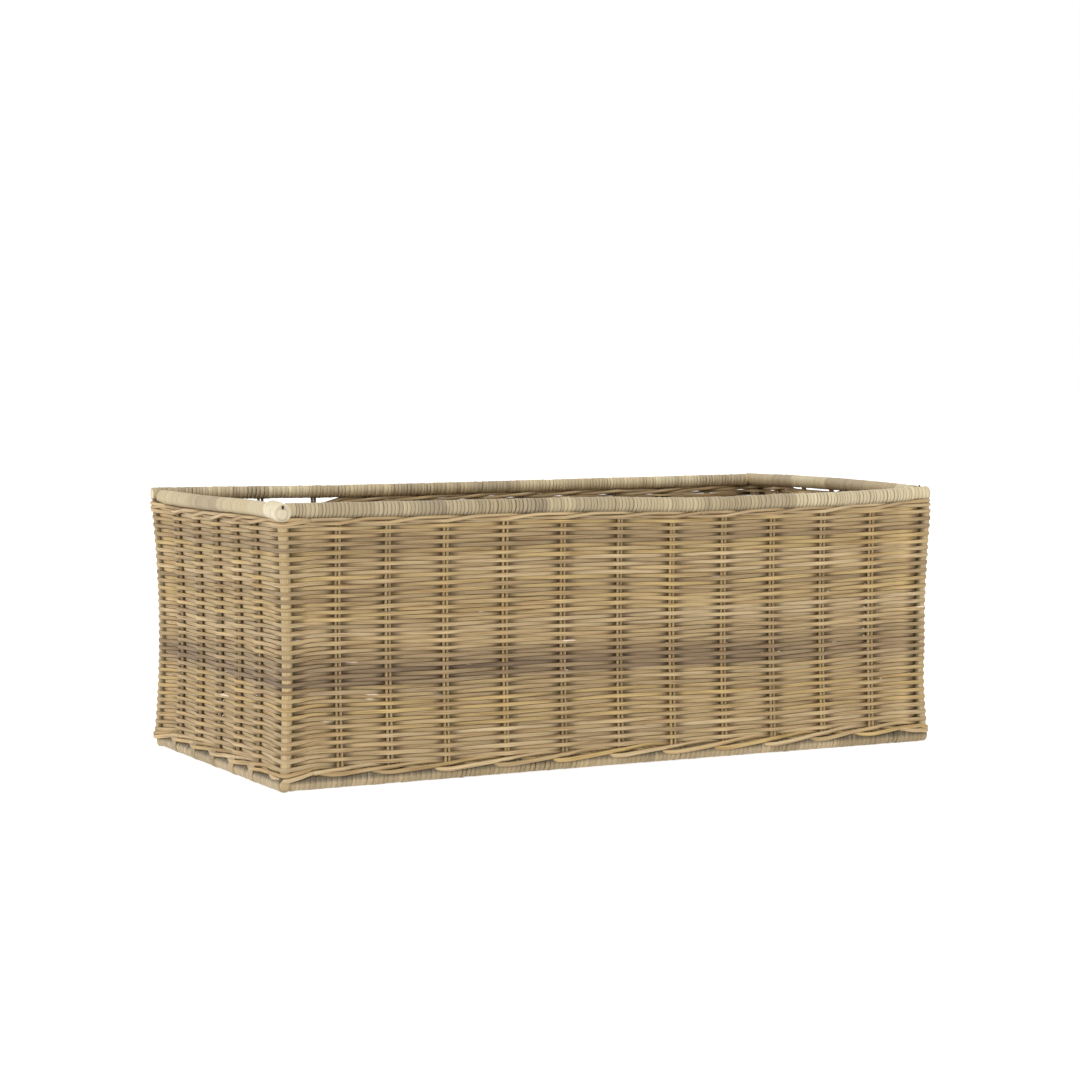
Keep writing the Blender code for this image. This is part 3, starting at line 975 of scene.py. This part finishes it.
def wound(start, along, length, rise, ragged, wide, fuller=0, marks=(), collar=False, **colours):
    """Peel wound round a rail from start, along a unit vector. ragged is 0 for close and 1 for uneven.

    fuller is extra thickness, and a collar is a thicker start, as at the near corner of the rim.
    """
    middles, widths = turn_places(length, ragged, wide, marks)
    turns = len(middles) - 1
    angle = np.arange((turns + 2) * turn_steps + 1) * math.tau / turn_steps
    turn = np.clip(angle / math.tau - 1, 0, turns)
    position = np.interp(turn, np.arange(turns + 1), middles)
    width = np.interp(turn, np.arange(turns + 1), widths)
    side = np.cross(UP, along)
    radial = UP * np.cos(angle)[:, None] + side * np.sin(angle)[:, None]
    stand_off = uneven(len(angle), stand_off_knots, stand_off_spread * (least_varied + ragged))
    stand_off = np.clip(stand_off, *stand_off_limits)
    in_collar = collar * np.clip((collar_length - position) / collar_step, 0, 1)
    extra = collar_height * in_collar * (collar_sides + collar_top * np.cos(angle))
    thickness = strip_thickness + fuller + extra
    radius = pole_radius + thickness / 2 - pressed_in + stand_off
    points = risen(start + along * position[:, None] + radial * radius[:, None], position, rise)
    outline = strip_shape[None] * np.stack([width, thickness], axis=1)[:, None]
    tint = peel_tint(turn, angle, position / length, in_collar, ragged, **colours)
    return sweep(points, outline, radial, tint)


# %% [markdown]
# ## The eight rails
# Rim and foot have the same plan: each rail starts at its free end, runs along its wall and stops at the
# side of the next. Eight blocks of code could make them, but one table of four rails keeps the two rings
# alike. The rises give the rim its real shape, with the long sag of the front rail.

# %% Rails
left_rise = ((0, -0.0010), (0.012, 0.0002), (0.02, 0.0008), (0.05, 0.0013), (0.08, 0.0013), (0.11, 0.0010),
             (0.15, 0.0003), (0.2, 0))
front_rise = ((0, -0.0012), (0.045, -0.0026), (0.09, -0.0038), (0.15, -0.0040), (0.20, -0.0046),
              (0.245, -0.0042), (0.29, -0.0026), (0.335, -0.0012), (0.41, -0.0007), (0.50, 0), (0.59, 0.0012))
right_rise = ((0, 0.0002), (0.08, 0.0016), (0.17, 0.0018), (0.24, 0.0010), (0.29, 0))
back_rise = ((0, 0.0026), (0.06, 0.0020), (0.16, 0.0004), (0.25, 0))
rails = {
    "left": dict(start=(-rail_x, -half_width), along=(0, 1.0), to_middle=half_width + rail_y,
                 ragged=0.20, brightness=(0.90, 0.90), fuller=0.0005, rise=left_rise),
    "front": dict(start=(half_length, -rail_y), along=(-1.0, 0), to_middle=half_length + rail_x,
                  ragged=0.85, brightness=(0.96, 0.73, 0.79), fuller=0.0007, rise=front_rise),
    "right": dict(start=(rail_x, half_width), along=(0, -1.0), to_middle=half_width + rail_y,
                  ragged=0.40, brightness=(0.90, 0.90), fuller=0, rise=right_rise),
    "back": dict(start=(-half_length, rail_y), along=(1.0, 0), to_middle=half_length + rail_x,
                 ragged=1.00, brightness=(0.95, 0.95), fuller=0, rise=back_rise),
}
foot_rises = {"front": ((0, 0), (0.3, 0.0006), (0.59, 0))}
level = ((0, 0), (1, 0))
rim_overhang, winding_inset, coped_share = 0.0024, 0.0004, 0.9
foot_wide, foot_ragged, foot_brightness = 1.25, 0.6, (0.80, 0.80)


def foot_look(side, rail):
    """How a foot rail is wound. It has painted shade on its top, under the wale, and on the long walls it
    reaches further down.
    """
    painted_shade_side = (1, -0.05, 0.70) if side in ("front", "back") else (1, 0.25, 0.75)
    return dict(rise=foot_rises.get(side, level), ragged=max(rail["ragged"], foot_ragged), wide=foot_wide,
                tints=foot_tints, brightness=foot_brightness, painted_shade_side=painted_shade_side)


def rim_look(side, rail):
    """How a rim rail is wound. It has painted shade on its underside, over the wale."""
    return dict(rise=rail["rise"], ragged=rail["ragged"], wide=1.0, fuller=rail["fuller"], tints=rim_tints,
                brightness=rail["brightness"], painted_shade_side=(-1, 0.5, 0.5 if side == "front" else 0.25),
                collar=side == "left")


for ring_name, z, overhang, end_tint, ring_look in (
        ("foot", foot_z, 0, "#AD9871", foot_look), ("rim", rim_z, rim_overhang, "#CDC1A2", rim_look)):
    for side, rail in rails.items():
        look = ring_look(side, rail)
        along = np.array((*rail["along"], 0))
        start = np.array((*rail["start"], z)) - along * overhang
        length = rail["to_middle"] + overhang - rail_radius * coped_share
        if side == "left":
            places = [u["place"] for u in uprights if u["node"].startswith("left")]
            look["marks"] = [(place - start[:2]) @ along[:2] for place in places]
        name, pole_node, peel_node = (ring_name + part + side for part in ("_", "_pole_", "_peel_"))
        pole = bare_pole(start, along, length, linear(end_tint), look["rise"])
        add_piece(f"{name}_vine", [pole], pole_material, [pole_node])
        winding = wound(start + along * winding_inset, along, length - winding_inset, **look)
        add_piece(f"{name}_winding", [winding], peel_material, [peel_node])
print("rails: 8, wound with strip", strip_width, "m wide")

# %% [markdown]
# ## Lashings
# On the short walls the wale is tied to the foot rail: beside each stake the winding leaves the rail for
# three turns and goes over the lowest rods as well, and between the lashings a dark slot stays open. Round
# turns would be simpler, but they would stand off the rail. The real ones hug it below and reach up over
# the rods, so each is drawn as an egg.

# %% Lashings at the short walls
lash_turns, lash_pitch, lash_steps = 3, 0.0033, 26
lash_height, lash_depth = rail_radius + wale_high, rail_radius - 0.0007
lash_half_width, lash_roundness = rail_radius + 0.0002, 0.75
lash_middle = 0.001
lash_size = (lash_pitch * 0.96, strip_thickness * 0.7)
lash_brightness, lash_change = 0.74, 0.05


def lashing(place, way, inward):
    """Turns of peel round the foot rail and the rods above it, as an egg whose long end is at the rods."""
    angle = np.linspace(0, lash_turns * math.tau, lash_turns * lash_steps + 1)
    narrow, tall = np.sin(angle), -np.cos(angle)
    out = np.sign(narrow) * np.abs(narrow) ** lash_roundness * lash_half_width
    rise = np.where(tall < 0, tall * lash_depth, tall * lash_height)
    along = (angle / math.tau - lash_turns / 2) * lash_pitch
    points = np.column_stack([place + np.outer(out, -inward) + np.outer(along, way), foot_z + rise])
    centre = np.column_stack([place + np.outer(along, way), np.full(len(angle), foot_z + lash_middle)])
    own = foot_tints[chance.integers(len(foot_tints))]
    tint = own * (lash_brightness + uneven(len(angle), 20, lash_change))[:, None]
    return sweep(points, strip_shape * np.array(lash_size), unit(points - centre), tint)


lashings = [lashing(u["place"], u["way"], u["inward"]) for u in uprights if u["inward"][0] and not u["post"]]
add_piece("foot_lashings", lashings, peel_material)
print("lashings:", len(lashings))

# %% [markdown]
# ## The base
# No picture shows this basket from below, so it gets the base that most of its kind have: the same plain
# weave laid flat, with five pairs of rods lengthwise, and one strand that goes back and forth across them,
# over and under, nearly two hundred times. At each side it turns back on itself. A flat board with a
# texture would do for the picture, but not for someone who turns the basket over.

# %% Base stakes
base_rod_over, base_turn_over = 0.0008, 0.0024
inner_x = rail_x - rail_radius + base_rod_over
inner_y = rail_y - rail_radius + base_turn_over
base_rows = [middle(f"base_stake_{k + 1}").y for k in range(5)]
base_rod_rings, base_rod_wobble = 14, 0.0002
base_wobble, base_fullness, base_change = 0.00010, 0.98, 0.04
for number, y in enumerate(base_rows, start=1):
    rods = []
    for side in (-0.5, 0.5):
        line = np.linspace(-inner_x, inner_x, base_rod_rings)
        spots = np.array([(x, y + side * rod_spacing, foot_z) for x in line])
        spots[:, 1] += uneven(base_rod_rings, 4, base_rod_wobble)
        rods.append(sweep(spots, round_outline * rod_radius * rod_share, UP, unbanded_tint(base_rod_rings)))
    add_piece(f"base_stake_{number}_rods", rods, core_material, [f"base_stake_{number}"])
print("base stakes:", len(base_rows), "pairs of rods")

# %% Base weaver
wanted_pitch, base_lengths = 0.00318, 14
passes = int((2 * inner_x - core_diameter) / wanted_pitch)
base_pitch = (2 * inner_x - core_diameter) / passes
turn_y = inner_y - base_pitch / 2 - core_diameter / 2
rings_beside_rod = (-0.012, -0.007, -0.0035, 0, 0.0035, 0.007, 0.012)
knots = sorted([0.5 * (a + b) for a, b in zip(base_rows, base_rows[1:])]
               + [y + d for y in base_rows for d in rings_beside_rod])
knots = np.array([-turn_y, *knots, turn_y])


def base_offset(y, step):
    """Height of pass number step above the base's middle, at y."""
    sides = [1 if (step + k) % 2 == 0 else -1 for k in range(len(base_rows))]
    return sum(side * reach * np.exp(-((y - row) / bend_width) ** 2) for side, row in zip(sides, base_rows))


base_points = []
for step in range(passes + 1):
    way = 1 if step % 2 == 0 else -1
    x = -inner_x + core_diameter / 2 + step * base_pitch
    y = knots[::way]
    base_points += [(x, place, foot_z + height) for place, height in zip(y, base_offset(y, step))]
    if step < passes:
        for turn in np.radians((-50, 0, 50)):
            half = base_pitch / 2
            on, over = half * math.sin(turn), half * math.cos(turn)
            base_points.append((x + half + on, way * (turn_y + over), foot_z))
base_points = np.array(base_points)
cuts = np.linspace(0, len(base_points), base_lengths + 1).astype(int)
for number, (first, last) in enumerate(zip(cuts, cuts[1:]), start=1):
    spots = base_points[first:last + 1].copy()
    spots[:, 0] += uneven(len(spots), 12, base_wobble)
    radius = core_diameter / 2 * (base_fullness + uneven(len(spots), 50, base_change))
    body = sweep(spots, round_outline * radius[:, None, None], UP, unbanded_tint(len(spots)))
    add_piece(f"base_weaver_length_{number:02d}", [body], core_material, ["base_weaver"])
print(f"base: {passes + 1} passes, {base_pitch:.5f} m apart")

# %% [markdown]
# ## Nails and loose fibres
# At each corner of the rim a wire nail holds one rail to the next, and its head shows as a dark spot. Core
# splinters where it is bent hard, so a few fine fibres stand off the strands, nearly half of them beside an
# upright. A hair system could grow them. Swept ones are real faces, which an exported model keeps.

# %% Nails
nail_radius, nail_tint = 0.0009, linear("#3C3732")
nail_heights, nail_shares = (-0.0020, 0.0, 0.0003, 0.0005), (0.9, 1.0, 0.85, 0.3)
nails = []
for x in (-rail_x, rail_x):
    for y in (-rail_y, rail_y):
        sunk, toward_end = (0.0002, 1.061) if x < 0 and y < 0 else (0.0001, 1.0)
        spots = np.array([(x, y * toward_end, rim_z + rail_radius - sunk + h) for h in nail_heights])
        radius = nail_radius * np.array(nail_shares)
        nails.append(sweep(spots, circle(12) * radius[:, None, None], (0, 1.0, 0), nail_tint))
add_piece("corner_nails", nails, nail_material)
print("nails:", len(nails))

# %% Loose fibres
fibre_count, fibre_radius, fibre_tint = 90, 0.00016, linear("#B39D76")
fibre_shares = (1, 1, 0.8, 0.5, 0.15)
beside_upright, kept_off_borders, root_depth = 0.45, 0.008, 0.45
fibre_lengths, fibre_out, fibre_up, fibre_curl = (0.003, 0.008), (0.1, 0.6), (-0.3, 0.4), (0.0, 0.25)
nearly_up = UP + 0.01  # a sweep's reference mustn't lie along its line, and a fibre may stand upright
fibres = []
for _ in range(fibre_count):
    path = weave_paths[chance.integers(2)]
    rows = path[path[:, 6] % 1 == 0] if chance.random() < beside_upright else path
    row = rows[chance.integers(len(rows))]
    z = chance.uniform(foot_top + kept_off_borders, rim_bottom - kept_off_borders)
    root = np.array((*(row[:2] + row[2:4] * bow(z)), z))
    outward = np.array((*row[4:6], 0))
    way = np.cross(UP, outward) * chance.choice((-1, 1))
    length = chance.uniform(*fibre_lengths)
    share = np.linspace(0, 1, len(fibre_shares))[:, None]
    heading = unit(outward * chance.uniform(*fibre_out) + way + UP * chance.uniform(*fibre_up))
    spots = root + outward * core_diameter * root_depth + heading * length * share
    spots = spots + outward * (share ** 2) * length * chance.uniform(*fibre_curl)
    radius = fibre_radius * np.array(fibre_shares)
    fibres.append(sweep(spots, circle(5) * radius[:, None, None], nearly_up, fibre_tint))
add_piece("loose_fibres", fibres, core_material)
print("fibres:", len(fibres))

# %% [markdown]
# ## Floor, light and camera
# A catalogue picture of a basket is taken on white paper, and then the paper is made pure white. Here the
# floor glows a little instead, so that it reads as white as the background and shows no shadow. White light
# comes from all round, and a wide soft sun above the left front makes the short wall paler than the long
# one. The camera looks down by four degrees over the near left corner through a long lens, so the edges
# converge only a little.

# %% Stage
def pale_card():
    """Matt paper backdrop: pale grey with a tooth of 2 mm, and a glow that takes it to white."""
    material, tree, shader = new_material("pale_card", 0.9)
    place = add_node(tree, "ShaderNodeNewGeometry")
    tooth = add_node(tree, "ShaderNodeTexNoise", {}, {"Scale": 500.0, "Vector": place.outputs["Position"]})
    colour = add_node(tree, "ShaderNodeMix", {"data_type": "RGBA", "blend_type": "MIX"},
                      {0: tooth.outputs["Fac"], 6: rgba("#AFAFAE"), 7: rgba("#B4B4B3")})
    feed(tree, shader, {
        "Base Color": colour.outputs[2], "Emission Color": rgba("#FFFFFF"), "Emission Strength": 0.80,
    })
    return material


floor_size, floor_gap = 30, 0.0002
bpy.ops.mesh.primitive_plane_add(size=floor_size, location=(0, 0, cad_box[0].z - floor_gap))
floor = bpy.context.object
floor.name = "floor"
floor.data.materials.append(pale_card())

# %% Light
sun_way = Vector((1.6, 1.1, -1.5))
scene = bpy.context.scene
world = bpy.data.worlds.new("studio")
world.use_nodes = True
world.node_tree.nodes["Background"].inputs["Color"].default_value = rgba("#FFFFFF")
world.node_tree.nodes["Background"].inputs["Strength"].default_value = 1.0
scene.world = world
scene.view_settings.view_transform = "Standard"

key_data = bpy.data.lights.new("key", "SUN")
key_data.energy, key_data.angle = 1.6, math.radians(50)
key = bpy.data.objects.new("key", key_data)
key.rotation_euler = sun_way.to_track_quat("-Z", "Y").to_euler()
scene.collection.objects.link(key)

# %% Camera
yaw, pitch, roll = math.radians(26.240), math.radians(3.875), math.radians(-0.323)
camera_place = (-1.0439, -2.1163, 0.3367)
focal_pixels, image_pixels, sensor = 2741.9, 1080, 36
camera_data = bpy.data.cameras.new("camera")
camera_data.lens = focal_pixels / image_pixels * sensor
camera_data.sensor_width = sensor
camera_data.clip_end = 60
camera = bpy.data.objects.new("camera", camera_data)
turned = Matrix.Rotation(-yaw, 4, "Z") @ Matrix.Rotation(math.radians(90) - pitch, 4, "X")
camera.matrix_world = Matrix.Translation(camera_place) @ turned @ Matrix.Rotation(roll, 4, "Z")
scene.collection.objects.link(camera)
scene.camera = camera
